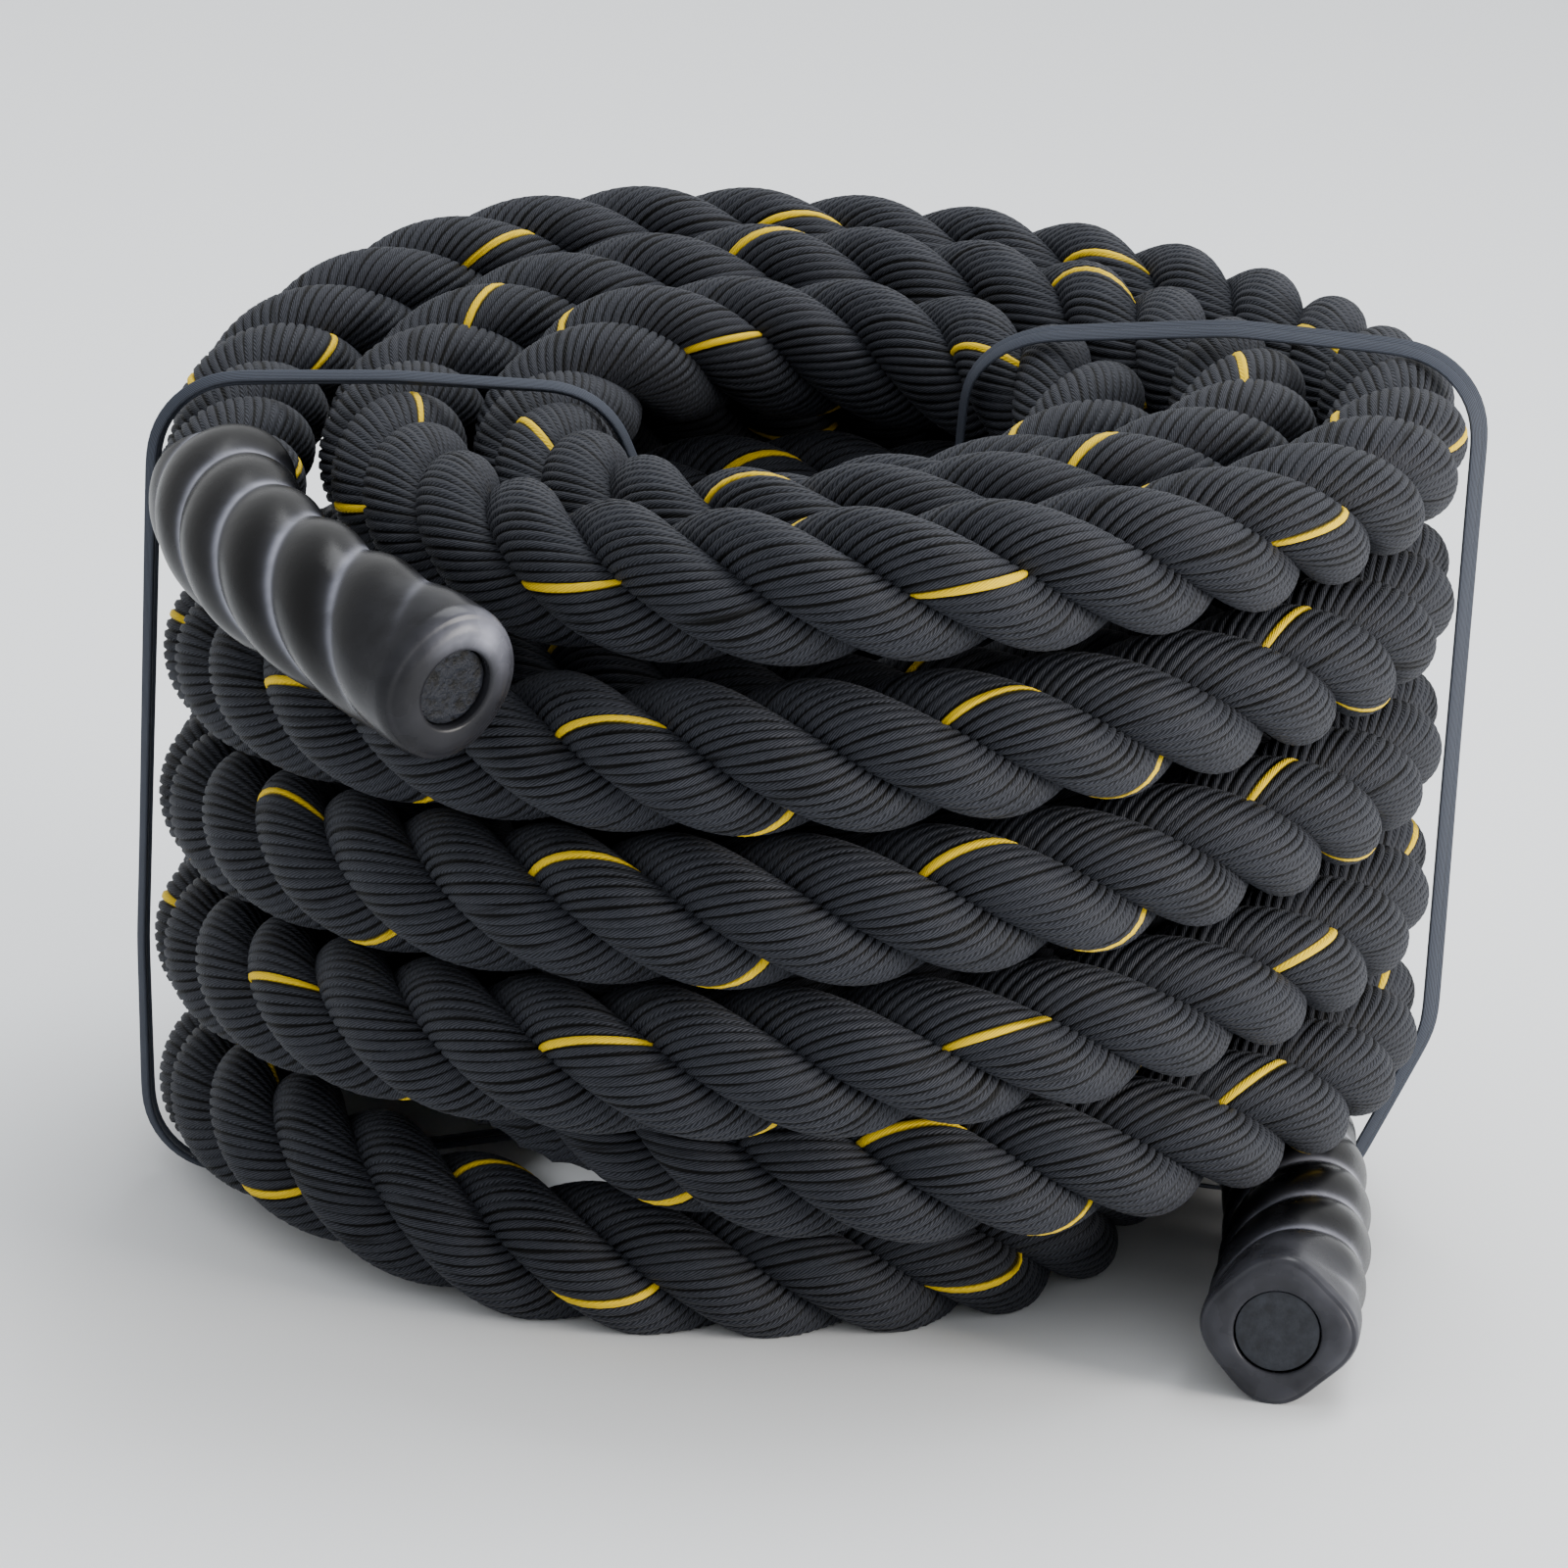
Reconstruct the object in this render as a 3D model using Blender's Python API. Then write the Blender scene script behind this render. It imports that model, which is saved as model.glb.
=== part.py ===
"""Coiled battle rope: one wound rope, a shrunk sleeve and end cap on each end, two tie straps."""

import math

import bmesh
import bpy
import numpy as np
from mathutils import Matrix

MM = 0.001

# The rope and the space that each turn keeps to the next
ROPE_DIAMETER = 38.0 * MM
WINDING_GAP = 1.2 * MM
PITCH = ROPE_DIAMETER + WINDING_GAP
ROPE_RADIUS = ROPE_DIAMETER / 2
POINTS_PER_TURN = 24
FULL_TURN_DEGREES = 360

# The handles: the sleeve squeezes the rope's end, and an end cap closes it. Between the
# winding and its sleeve each rope end shows a short bare stretch.
SQUEEZE = 1.0 * MM
SLEEVE_GAP = 0.3 * MM
SLEEVE_WALL = 1.4 * MM
SLEEVE_LENGTH = 145.0 * MM
UPPER_BARE_LENGTH = 6.0 * MM
LOWER_BARE_LENGTH = 29.0 * MM
FLOOR_GAP = 0.1 * MM
CAP_THICKNESS = 6.0 * MM
UPPER_RECESS = 3.5 * MM
LOWER_RECESS = 0.8 * MM
TAIL_RADIUS = ROPE_RADIUS - SQUEEZE
BORE_RADIUS = TAIL_RADIUS + SLEEVE_GAP
SLEEVE_RADIUS = BORE_RADIUS + SLEEVE_WALL
FACE_GAP = 0.3 * MM
TAIL_STEPS = 20
TAIL_RESOLUTION = 4
STRAIGHT_START_SHARES = (0, 0.5, 1)

# The tie straps, each a closed loop of flat tape round the winding's section
TIE_WIDTH = 7.0 * MM
TIE_THICKNESS = 1.2 * MM
TIE_GAP = 0.3 * MM
TIE_CORNER_POINTS = 20
TIE_SAMPLE_SPACING = 3.0 * MM

OVERRUN = 5.0 * MM
MERGE_DISTANCE = 0.01 * MM

# The winding, as degrees turned from the right, anticlockwise from above, and the centre
# line's radius and height in pitches. First the floor turn, the inner column that climbs
# from it, and the middle column that comes down again to the lowest outer row.
LOWER_LAY_SHARES = [
    (30, 3.12, 0.56), (45, 3.22, 0.52), (60, 3.31, 0.43), (90, 3.45, 0.40), (135, 3.72, 0.45),
    (180, 3.83, 0.56), (195, 3.80, 0.66), (210, 3.70, 0.70), (225, 3.50, 0.62), (240, 3.26, 0.48),
    (255, 3.00, 0.41), (270, 2.79, 0.40), (320, 2.50, 0.42), (345, 2.32, 0.54), (375, 2.15, 0.54),
    (420, 1.95, 0.54), (450, 1.86, 0.67), (720, 1.85, 1.50), (1260, 1.85, 3.02), (1350, 1.87, 3.30),
    (1440, 2.50, 3.36), (1530, 2.86, 3.30), (1620, 2.86, 2.85), (1710, 2.86, 2.62),
    (1800, 2.86, 2.27), (1890, 2.86, 2.20), (1980, 2.86, 1.74), (2010, 2.83, 1.62),
    (2025, 2.86, 1.58), (2040, 2.97, 1.55), (2055, 3.15, 1.48), (2070, 3.38, 1.38),
    (2100, 3.68, 1.44), (2130, 3.84, 1.52), (2150, 3.87, 1.53),
]
# One outer row, repeated one rise higher each turn
ROW_START_DEGREES = 2160
ROW_TURNS = 3
ROW_RISE_SHARE = 1.02
ROW_SHARES = [
    (0, 3.87, 1.50), (90, 3.87, 1.55), (180, 3.88, 1.67), (225, 3.93, 1.97), (270, 3.96, 2.23),
    (300, 3.92, 2.42), (330, 3.88, 2.52),
]
# From the last outer row the rope goes in below the top layer and climbs at the hole
INWARD_LAY_SHARES = [
    (3240, 3.87, 4.56), (3315, 3.87, 4.60), (3345, 3.72, 4.66), (3375, 3.30, 4.50),
    (3400, 3.00, 4.23), (3420, 2.88, 4.12), (3510, 2.86, 4.15), (3600, 2.55, 4.37),
    (3690, 1.85, 4.40), (3780, 1.85, 4.14), (3810, 1.74, 4.12), (3825, 1.60, 4.24),
    (3840, 1.52, 4.52), (3855, 1.54, 4.84), (3870, 1.65, 5.08), (3885, 1.78, 5.18),
    (3900, 1.84, 5.22), (3960, 1.85, 5.40), (4050, 1.85, 5.50),
]
# The top layer steps out by one column at the front left of each turn, and the outer step
# swings a little wider, so that the slanting turns keep their distance
TOP_START_DEGREES = 3960
TOP_TURNS = 2
TOP_RADIUS_SHARE = 1.86
TOP_STEP_SHARE = 1.005
TOP_SWING_SHARE = 0.32
TOP_SHARES = [
    (135, 0.00, 5.50), (180, 0.00, 5.18), (195, 0.04, 5.17), (210, 0.14, 5.17), (225, 0.33, 5.19),
    (240, 0.57, 5.21), (255, 0.79, 5.25), (270, 0.95, 5.35), (285, 1.00, 5.44),
    (330, 1.00, 5.58), (360, 1.00, 5.60), (450, 1.00, 5.65),
]
# The last outer turn drops on to the row below and ends at the left
LAST_LAY_SHARES = [
    (4792, 3.87, 5.68), (4815, 3.88, 5.58), (4845, 3.91, 5.26), (4868, 3.885, 5.10),
]

# The rope's ends after the winding, hand laid, in pitches: from the winding's axis and the
# floor for the upper one, and with a rise above lying on the floor for the lower one
UPPER_ROUTE_SHARES = [
    (-3.71, -2.20, 5.07), (-3.40, -2.95, 5.03), (-2.92, -3.65, 4.97), (-2.36, -4.28, 4.88),
    (-1.77, -4.90, 4.74),
]
LOWER_ROUTE_SHARES = [
    (3.52, -0.31, 0.04), (3.58, -0.97, 0.01), (3.58, -1.74, 0.00), (3.52, -2.74, 0.00),
    (3.40, -3.90, 0.00),
]

# Where each tie's plane crosses the inner and the outer column, in pitches from the axis,
# and how far inside the inner column and how high its slack inner run hangs
LEFT_TIE_SHARES = ((-1.75, -0.65), (-3.87, -0.75), (1.05, 3.40))
RIGHT_TIE_SHARES = ((1.85, 0.62), (3.87, 0.26), (0.95, 3.00))


def clear_scene():
    """Start from an empty scene."""
    for old in list(bpy.data.objects):
        bpy.data.objects.remove(old, do_unlink=True)


def make_collection(name):
    """A collection linked to the scene."""
    collection = bpy.data.collections.new(name)
    bpy.context.scene.collection.children.link(collection)
    return collection


def make_material(name, colour, roughness, metallic=0.0):
    """A Principled material of one colour."""
    material = bpy.data.materials.new(name)
    material.use_nodes = True
    shader = material.node_tree.nodes["Principled BSDF"]
    shader.inputs["Base Color"].default_value = (*colour, 1.0)
    shader.inputs["Roughness"].default_value = roughness
    shader.inputs["Metallic"].default_value = metallic
    return material


def winding_stations():
    """All the stations of the winding in order, the repeated ones made by counting turns."""
    stations = list(LOWER_LAY_SHARES)
    for turn in range(ROW_TURNS):
        for degrees, radius, height in ROW_SHARES:
            angle = ROW_START_DEGREES + turn * FULL_TURN_DEGREES + degrees
            stations.append((angle, radius, height + turn * ROW_RISE_SHARE))
    stations += INWARD_LAY_SHARES
    for turn in range(TOP_TURNS):
        for degrees, step, height in TOP_SHARES:
            swing = turn * step * (1 - step) * TOP_SWING_SHARE
            radius = TOP_RADIUS_SHARE + (turn + step) * TOP_STEP_SHARE + swing
            angle = TOP_START_DEGREES + turn * FULL_TURN_DEGREES + degrees
            stations.append((angle, radius, height))
    return stations + LAST_LAY_SHARES


def smooth_run(places, knots, values):
    """Values at the places, on a smooth run through the knots that never swings past them."""
    secants = np.diff(values) / np.diff(knots)
    slopes = np.empty_like(values)
    slopes[0], slopes[-1] = secants[0], secants[-1]
    slopes[1:-1] = (values[2:] - values[:-2]) / (knots[2:] - knots[:-2])
    steepest = 3 * np.minimum(abs(secants[:-1]), abs(secants[1:]))
    slopes[1:-1] = np.clip(slopes[1:-1], -steepest, steepest)
    slopes[1:-1][secants[:-1] * secants[1:] <= 0] = 0
    run = np.clip(np.searchsorted(knots, places, side="right") - 1, 0, len(knots) - 2)
    width = knots[run + 1] - knots[run]
    u = (places - knots[run]) / width
    start = (2 * u**3 - 3 * u**2 + 1) * values[run] + (u**3 - 2 * u**2 + u) * width * slopes[run]
    end = (3 * u**2 - 2 * u**3) * values[run + 1] + (u**3 - u**2) * width * slopes[run + 1]
    return start + end


def unit(vector):
    """The vector at length one."""
    return vector / np.linalg.norm(vector)


def winding_points():
    """The winding's centre line, with a straight run of one diameter at each end."""
    degrees, radius_shares, height_shares = np.array(winding_stations()).T
    count = round((degrees[-1] - degrees[0]) / FULL_TURN_DEGREES * POINTS_PER_TURN)
    turned = np.linspace(degrees[0], degrees[-1], count + 1)
    radii = smooth_run(turned, degrees, radius_shares) * PITCH
    heights = smooth_run(turned, degrees, height_shares) * PITCH
    angles = np.radians(turned)
    points = np.stack([radii * np.cos(angles), radii * np.sin(angles), heights], axis=1)
    level = np.array([1, 1, 0])
    first = points[0] + unit((points[0] - points[1]) * level) * ROPE_DIAMETER
    last = points[-1] + unit((points[-1] - points[-2]) * level) * ROPE_DIAMETER
    return np.vstack([first, points, last])


def least_gap(points, diameter, apart):
    """The least gap of a tube to itself, between pieces at least so many points apart."""
    starts, ends = points[:-1], points[1:]
    least = math.inf
    for index in range(len(starts) - apart):
        a = ends[index] - starts[index]
        b = ends[index + apart:] - starts[index + apart:]
        w = starts[index] - starts[index + apart:]
        aa, ab, bb = a @ a, b @ a, np.sum(b * b, axis=1)
        aw, bw = w @ a, np.sum(b * w, axis=1)
        s = np.clip((ab * bw - bb * aw) / np.maximum(aa * bb - ab * ab, aa * aa * 1e-9), 0, 1)
        t = np.clip((ab * s + bw) / bb, 0, 1)
        s = np.clip((ab * t - aw) / aa, 0, 1)
        gaps = np.linalg.norm(w + s[:, None] * a - t[:, None] * b, axis=1)
        least = min(least, gaps.min())
    return least - diameter


def arc_length(points):
    """Distance along a run of points."""
    return np.concatenate([[0.0], np.cumsum(np.linalg.norm(np.diff(points, axis=0), axis=1))])


def route_curve(knots):
    """A fine smooth curve through hand-chosen points."""
    knots = np.array(knots)
    along = arc_length(knots)
    fine = np.linspace(0, along[-1], 40 * len(knots))
    return np.stack([smooth_run(fine, along, knots[:, axis]) for axis in range(3)], axis=1)


def stretch(curve, start, end, steps):
    """Points spaced evenly between two distances along a fine curve."""
    along = arc_length(curve)
    places = np.linspace(start, end, steps + 1)
    return np.stack([np.interp(places, along, curve[:, axis]) for axis in range(3)], axis=1)


def add_tube(name, points, radius, resolution, material, collection):
    """A tube along points, made as a bevelled curve and turned into a closed mesh."""
    curve = bpy.data.curves.new(name + "_line", "CURVE")
    curve.dimensions = "3D"
    curve.twist_mode = "Z_UP"
    curve.bevel_depth = radius
    curve.bevel_resolution = resolution
    curve.use_fill_caps = True
    spline = curve.splines.new("POLY")
    spline.points.add(len(points) - 1)
    for point, place in zip(spline.points, points):
        point.co = (*place, 1.0)
    return curve_to_object(name, curve, Matrix.Identity(4), material, collection)


def curve_to_object(name, curve, placement, material, collection):
    """The curve's evaluated mesh, its caps welded, as a mesh object; the curve is removed."""
    guide = bpy.data.objects.new(name + "_line", curve)
    guide.matrix_world = placement
    bpy.context.scene.collection.objects.link(guide)
    bpy.context.view_layer.update()
    evaluated = guide.evaluated_get(bpy.context.evaluated_depsgraph_get())
    mesh = bpy.data.meshes.new_from_object(evaluated)
    mesh.name = name
    body = bmesh.new()
    body.from_mesh(mesh)
    bmesh.ops.remove_doubles(body, verts=body.verts, dist=MERGE_DISTANCE)
    bmesh.ops.recalc_face_normals(body, faces=body.faces)
    body.to_mesh(mesh)
    body.free()
    result = bpy.data.objects.new(name, mesh)
    result.matrix_world = guide.matrix_world.copy()
    collection.objects.link(result)
    bpy.data.objects.remove(guide, do_unlink=True)
    mesh.materials.clear()
    mesh.materials.append(material)
    mesh.shade_smooth()
    mesh.set_sharp_from_angle(angle=math.radians(50))
    return result


def cut(target, cutter):
    """Take the cutter's shape out of the target."""
    modifier = target.modifiers.new("cut_by_" + cutter.name, "BOOLEAN")
    modifier.operation = "DIFFERENCE"
    modifier.solver = "EXACT"
    modifier.object = cutter
    cutter.hide_render = True
    cutter.display_type = "WIRE"


def add_floor_cutter(reach, collection):
    """A slab whose top is the floor, to flatten the turns that lie on it."""
    depth = ROPE_DIAMETER
    bpy.ops.mesh.primitive_cube_add(size=1.0, location=(0, 0, -depth / 2))
    slab = bpy.context.object
    slab.name = "floor_cutter"
    slab.data.transform(Matrix.Diagonal((2 * reach, 2 * reach, depth, 1.0)))
    for owner in list(slab.users_collection):
        owner.objects.unlink(slab)
    collection.objects.link(slab)
    return slab


def handle_curve(face, way, route):
    """The centre line of a rope end: square off the winding's end face, then along its route."""
    start = face + way * FACE_GAP
    straight = [start + way * ROPE_RADIUS * share for share in STRAIGHT_START_SHARES]
    curve = route_curve([*straight, *route])
    return np.vstack([curve, curve[-1] + unit(curve[-1] - curve[-2]) * SLEEVE_LENGTH])


def add_handle(side, curve, bare, recess, parts, cutters, materials):
    """A rope end along its centre line: the tail, the sleeve round it and its end cap."""
    total = bare + SLEEVE_LENGTH
    cap_end = total - recess
    cap_start = cap_end - CAP_THICKNESS
    add_tube(f"{side}_tail", stretch(curve, 0, cap_start - FACE_GAP, TAIL_STEPS), TAIL_RADIUS,
             TAIL_RESOLUTION, materials["rope"], parts)
    sleeve_line = stretch(curve, bare, total, TAIL_STEPS)
    sleeve = add_tube(f"{side}_sleeve", sleeve_line, SLEEVE_RADIUS, TAIL_RESOLUTION,
                      materials["sleeve"], parts)
    behind = sleeve_line[0] + unit(sleeve_line[0] - sleeve_line[1]) * OVERRUN
    ahead = sleeve_line[-1] + unit(sleeve_line[-1] - sleeve_line[-2]) * OVERRUN
    bore_line = np.vstack([behind, sleeve_line, ahead])
    bore = add_tube(f"{side}_bore", bore_line, BORE_RADIUS, TAIL_RESOLUTION,
                    materials["sleeve"], cutters)
    cut(sleeve, bore)
    add_tube(f"{side}_end_cap", stretch(curve, cap_start, cap_end, 1), TAIL_RADIUS,
             TAIL_RESOLUTION, materials["cap"], parts)
    return stretch(curve, 0, total, TAIL_STEPS)


def convex_outline(points):
    """The corners of the smallest convex outline round points in a plane, anticlockwise."""
    points = sorted(set(map(tuple, points)))
    halves = []
    for ordered in (points, points[::-1]):
        chain = []
        for x, y in ordered:
            while len(chain) > 1:
                (ax, ay), (bx, by) = chain[-2], chain[-1]
                if (bx - ax) * (y - ay) - (by - ay) * (x - ax) > 0:
                    break
                chain.pop()
            chain.append((x, y))
        halves.append(chain[:-1])
    return halves[0] + halves[1]


def add_tie(name, shares, centre_line, material, collection):
    """A closed loop of tape, drawn round all the turns that its upright plane crosses."""
    inner, outer, slack = (np.array(share) * PITCH for share in shares)
    outward = unit(outer - inner)
    across = np.array([-outward[1], outward[0]])
    sides = (centre_line[:, :2] - inner) @ across
    along = (centre_line[:, :2] - inner) @ outward
    near = np.maximum(abs(sides) - TIE_WIDTH / 2, 0)
    crossed = (near < ROPE_RADIUS) & (along > -PITCH)
    radii = np.sqrt(ROPE_RADIUS**2 - near[crossed] ** 2) + TIE_GAP
    centres = np.stack([along[crossed], centre_line[crossed, 2]], axis=1)
    centres = np.vstack([centres, [-slack[0], slack[1]]])
    radii = np.append(radii, TIE_GAP)
    turns = np.arange(TIE_CORNER_POINTS) * math.tau / TIE_CORNER_POINTS
    ring = np.stack([np.cos(turns), np.sin(turns)], axis=1) / math.cos(math.pi / TIE_CORNER_POINTS)
    curve = bpy.data.curves.new(name + "_line", "CURVE")
    curve.dimensions = "2D"
    curve.fill_mode = "BOTH"
    curve.extrude = TIE_WIDTH / 2
    for grown in (radii + TIE_THICKNESS, radii):
        corners = convex_outline((centres[:, None] + grown[:, None, None] * ring).reshape(-1, 2))
        spline = curve.splines.new("POLY")
        spline.points.add(len(corners) - 1)
        for point, (x, y) in zip(spline.points, corners):
            point.co = (x, y, 0.0, 1.0)
        spline.use_cyclic_u = True
    placement = Matrix((
        (outward[0], 0, outward[1], inner[0]),
        (outward[1], 0, -outward[0], inner[1]),
        (0, 1, 0, 0),
        (0, 0, 0, 1),
    ))
    return curve_to_object(name, curve, placement, material, collection)


def stand_on_origin(objects):
    """Move everything so that the box round the parts stands centred on the origin."""
    bpy.context.view_layer.update()
    graph = bpy.context.evaluated_depsgraph_get()
    corners = []
    for part in objects:
        evaluated = part.evaluated_get(graph)
        corners += [tuple(evaluated.matrix_world @ vertex.co) for vertex in evaluated.data.vertices]
    low, high = np.min(corners, axis=0), np.max(corners, axis=0)
    shift = Matrix.Translation((-(low[0] + high[0]) / 2, -(low[1] + high[1]) / 2, -low[2]))
    for item in bpy.data.objects:
        item.matrix_world = shift @ item.matrix_world
    print("moved by", [round(value / MM, 3) for value in shift.translation], "mm")


def build():
    """Model the whole rope."""
    clear_scene()
    parts = make_collection("coiled_battle_rope")
    cutters = make_collection("cutters")
    materials = {
        "rope": make_material("rope_charcoal", (0.030, 0.032, 0.037), 0.85),
        "sleeve": make_material("sleeve_gloss_black", (0.012, 0.012, 0.014), 0.22),
        "cap": make_material("cap_black", (0.045, 0.050, 0.062), 0.55),
        "tie": make_material("tie_grey", (0.075, 0.082, 0.105), 0.7),
    }
    centre_line = winding_points()
    coil = add_tube("rope_coil", centre_line, ROPE_RADIUS, 1, materials["rope"], parts)
    reach = float(np.abs(centre_line).max()) + ROPE_DIAMETER
    cut(coil, add_floor_cutter(reach, cutters))
    lower_route = np.array(LOWER_ROUTE_SHARES) * PITCH + [0, 0, SLEEVE_RADIUS + FLOOR_GAP]
    upper_route = np.array(UPPER_ROUTE_SHARES) * PITCH
    lower_way = unit(centre_line[0] - centre_line[1])
    upper_way = unit(centre_line[-1] - centre_line[-2])
    lower_curve = handle_curve(centre_line[0], lower_way, lower_route)
    upper_curve = handle_curve(centre_line[-1], upper_way, upper_route)
    lower = add_handle("lower", lower_curve, LOWER_BARE_LENGTH, LOWER_RECESS,
                       parts, cutters, materials)
    upper = add_handle("upper", upper_curve, UPPER_BARE_LENGTH, UPPER_RECESS,
                       parts, cutters, materials)
    whole_line = np.vstack([lower[::-1], centre_line, upper])
    length = arc_length(whole_line)[-1]
    fine_line = stretch(whole_line, 0, length, round(length / TIE_SAMPLE_SPACING))
    add_tie("left_tie", LEFT_TIE_SHARES, fine_line, materials["tie"], parts)
    add_tie("right_tie", RIGHT_TIE_SHARES, fine_line, materials["tie"], parts)
    stand_on_origin(parts.objects)
    print(f"rope length {length:.3f} m, {arc_length(centre_line)[-1]:.3f} m of it wound")
    print(f"least gap of the winding to itself {least_gap(centre_line, ROPE_DIAMETER, 8) / MM:.2f} mm")


build()
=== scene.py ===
import math

import bpy
import numpy as np
from mathutils import Matrix, Vector


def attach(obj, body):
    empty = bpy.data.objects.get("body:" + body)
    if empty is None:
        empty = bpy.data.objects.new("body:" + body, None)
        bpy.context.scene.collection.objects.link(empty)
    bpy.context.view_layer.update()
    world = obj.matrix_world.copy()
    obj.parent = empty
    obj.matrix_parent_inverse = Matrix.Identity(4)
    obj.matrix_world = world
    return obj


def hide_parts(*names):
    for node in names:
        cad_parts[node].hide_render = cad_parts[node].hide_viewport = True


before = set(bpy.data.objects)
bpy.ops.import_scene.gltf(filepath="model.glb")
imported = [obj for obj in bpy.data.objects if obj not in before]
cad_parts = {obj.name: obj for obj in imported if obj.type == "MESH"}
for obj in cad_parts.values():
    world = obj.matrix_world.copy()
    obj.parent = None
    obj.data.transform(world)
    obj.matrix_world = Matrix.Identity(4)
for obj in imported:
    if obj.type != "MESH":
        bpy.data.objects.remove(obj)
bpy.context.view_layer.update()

# Camera. A long lens sees the coil from two metres away and a little above its rim, and
# leans a few degrees to one side. PITCH is the distance from one turn of the rope to the
# next, and AXIS the middle of the winding, which lies a little behind the part's middle.
PITCH = 0.0392
AXIS = np.array([-0.000513, 0.014343, 0.0])
VIEW_TURN = math.radians(-2.3)
VIEW_ELEVATION = math.radians(17.3)
VIEW_ROLL = math.radians(3.3)
VIEW_DISTANCE = 50.0 * PITCH
VIEW_TARGET = Vector(AXIS + np.array([-0.104, 0.0, 2.868]) * PITCH)
FOCAL_PIXELS = 7435
PHOTO_PIXELS = 1600
SENSOR_WIDTH = 36.0

away = Vector((
    -math.sin(VIEW_TURN) * math.cos(VIEW_ELEVATION),
    -math.cos(VIEW_TURN) * math.cos(VIEW_ELEVATION),
    math.sin(VIEW_ELEVATION),
))
level = Vector((math.cos(VIEW_TURN), -math.sin(VIEW_TURN), 0.0))
upward = away.cross(level)
right = level * math.cos(VIEW_ROLL) + upward * math.sin(VIEW_ROLL)
above = upward * math.cos(VIEW_ROLL) - level * math.sin(VIEW_ROLL)
camera_data = bpy.data.cameras.new("camera")
camera_data.sensor_width = SENSOR_WIDTH
camera_data.lens = SENSOR_WIDTH * FOCAL_PIXELS / PHOTO_PIXELS
camera = bpy.data.objects.new("camera", camera_data)
facing = Matrix((right, above, away)).transposed().to_4x4()
camera.matrix_world = Matrix.Translation(VIEW_TARGET + away * VIEW_DISTANCE) @ facing
bpy.context.scene.collection.objects.link(camera)
bpy.context.scene.camera = camera


# The rope's route. One rope wound by hand from the floor up the inside, down behind the
# outer rows, up those, in at the top and out again in three flat turns. Its stations are the
# solids' own: degrees turned, then radius and height in pitches.
LOWER_LAY = [
    (30, 3.12, 0.56), (45, 3.22, 0.52), (60, 3.31, 0.43), (90, 3.45, 0.40), (135, 3.72, 0.45),
    (180, 3.83, 0.56), (195, 3.80, 0.66), (210, 3.70, 0.70), (225, 3.50, 0.62), (240, 3.26, 0.48),
    (255, 3.00, 0.41), (270, 2.79, 0.40), (320, 2.50, 0.42), (345, 2.32, 0.54), (375, 2.15, 0.54),
    (420, 1.95, 0.54), (450, 1.86, 0.67), (720, 1.85, 1.50), (1260, 1.85, 3.02), (1350, 1.87, 3.30),
    (1440, 2.50, 3.36), (1530, 2.86, 3.30), (1620, 2.86, 2.85), (1710, 2.86, 2.62),
    (1800, 2.86, 2.27), (1890, 2.86, 2.20), (1980, 2.86, 1.74), (2010, 2.83, 1.62),
    (2025, 2.86, 1.58), (2040, 2.97, 1.55), (2055, 3.15, 1.48), (2070, 3.38, 1.38),
    (2100, 3.68, 1.44), (2130, 3.84, 1.52), (2150, 3.87, 1.53),
]
OUTER_ROW = [
    (0, 3.87, 1.50), (90, 3.87, 1.55), (180, 3.88, 1.67), (225, 3.93, 1.97), (270, 3.96, 2.23),
    (300, 3.92, 2.42), (330, 3.88, 2.52),
]
INWARD_LAY = [
    (3240, 3.87, 4.56), (3315, 3.87, 4.60), (3345, 3.72, 4.66), (3375, 3.30, 4.50),
    (3400, 3.00, 4.23), (3420, 2.88, 4.12), (3510, 2.86, 4.15), (3600, 2.55, 4.37),
    (3690, 1.85, 4.40), (3780, 1.85, 4.14), (3810, 1.74, 4.12), (3825, 1.60, 4.24),
    (3840, 1.52, 4.52), (3855, 1.54, 4.84), (3870, 1.65, 5.08), (3885, 1.78, 5.18),
    (3900, 1.84, 5.22), (3960, 1.85, 5.40), (4050, 1.85, 5.50),
]
TOP_TURN = [
    (135, 0.00, 5.50), (180, 0.00, 5.18), (195, 0.04, 5.17), (210, 0.14, 5.17), (225, 0.33, 5.19),
    (240, 0.57, 5.21), (255, 0.79, 5.25), (270, 0.95, 5.35), (285, 1.00, 5.44),
    (330, 1.00, 5.58), (360, 1.00, 5.60), (450, 1.00, 5.65),
]
LAST_LAY = [
    (4792, 3.87, 5.68), (4815, 3.88, 5.58), (4845, 3.91, 5.26), (4868, 3.885, 5.10),
]
TURN_DEGREES = 360
OUTER_START = 2160
OUTER_TURNS = 3
OUTER_RISE = 1.02
TOP_START = 3960
TOP_TURNS = 2
TOP_INNER_RADIUS = 1.86
TOP_STEP = 1.005
TOP_BULGE = 0.32
ROPE_DIAMETER = 0.038
LOWER_ROUTE = np.array([
    (3.52, -0.31, 0.545), (3.58, -0.97, 0.515), (3.58, -1.74, 0.505), (3.52, -2.74, 0.505),
    (3.40, -3.90, 0.505),
]) * PITCH
UPPER_ROUTE = np.array([
    (-3.71, -2.20, 5.07), (-3.40, -2.95, 5.03), (-2.92, -3.65, 4.97), (-2.36, -4.28, 4.88),
    (-1.77, -4.90, 4.74),
]) * PITCH
LOWER_TAIL_LENGTH = 0.174
UPPER_TAIL_LENGTH = 0.151
ROUTE_STEP = 0.001
CURVE_POINTS = 400
STIFFNESS_REACH = 11


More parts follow.
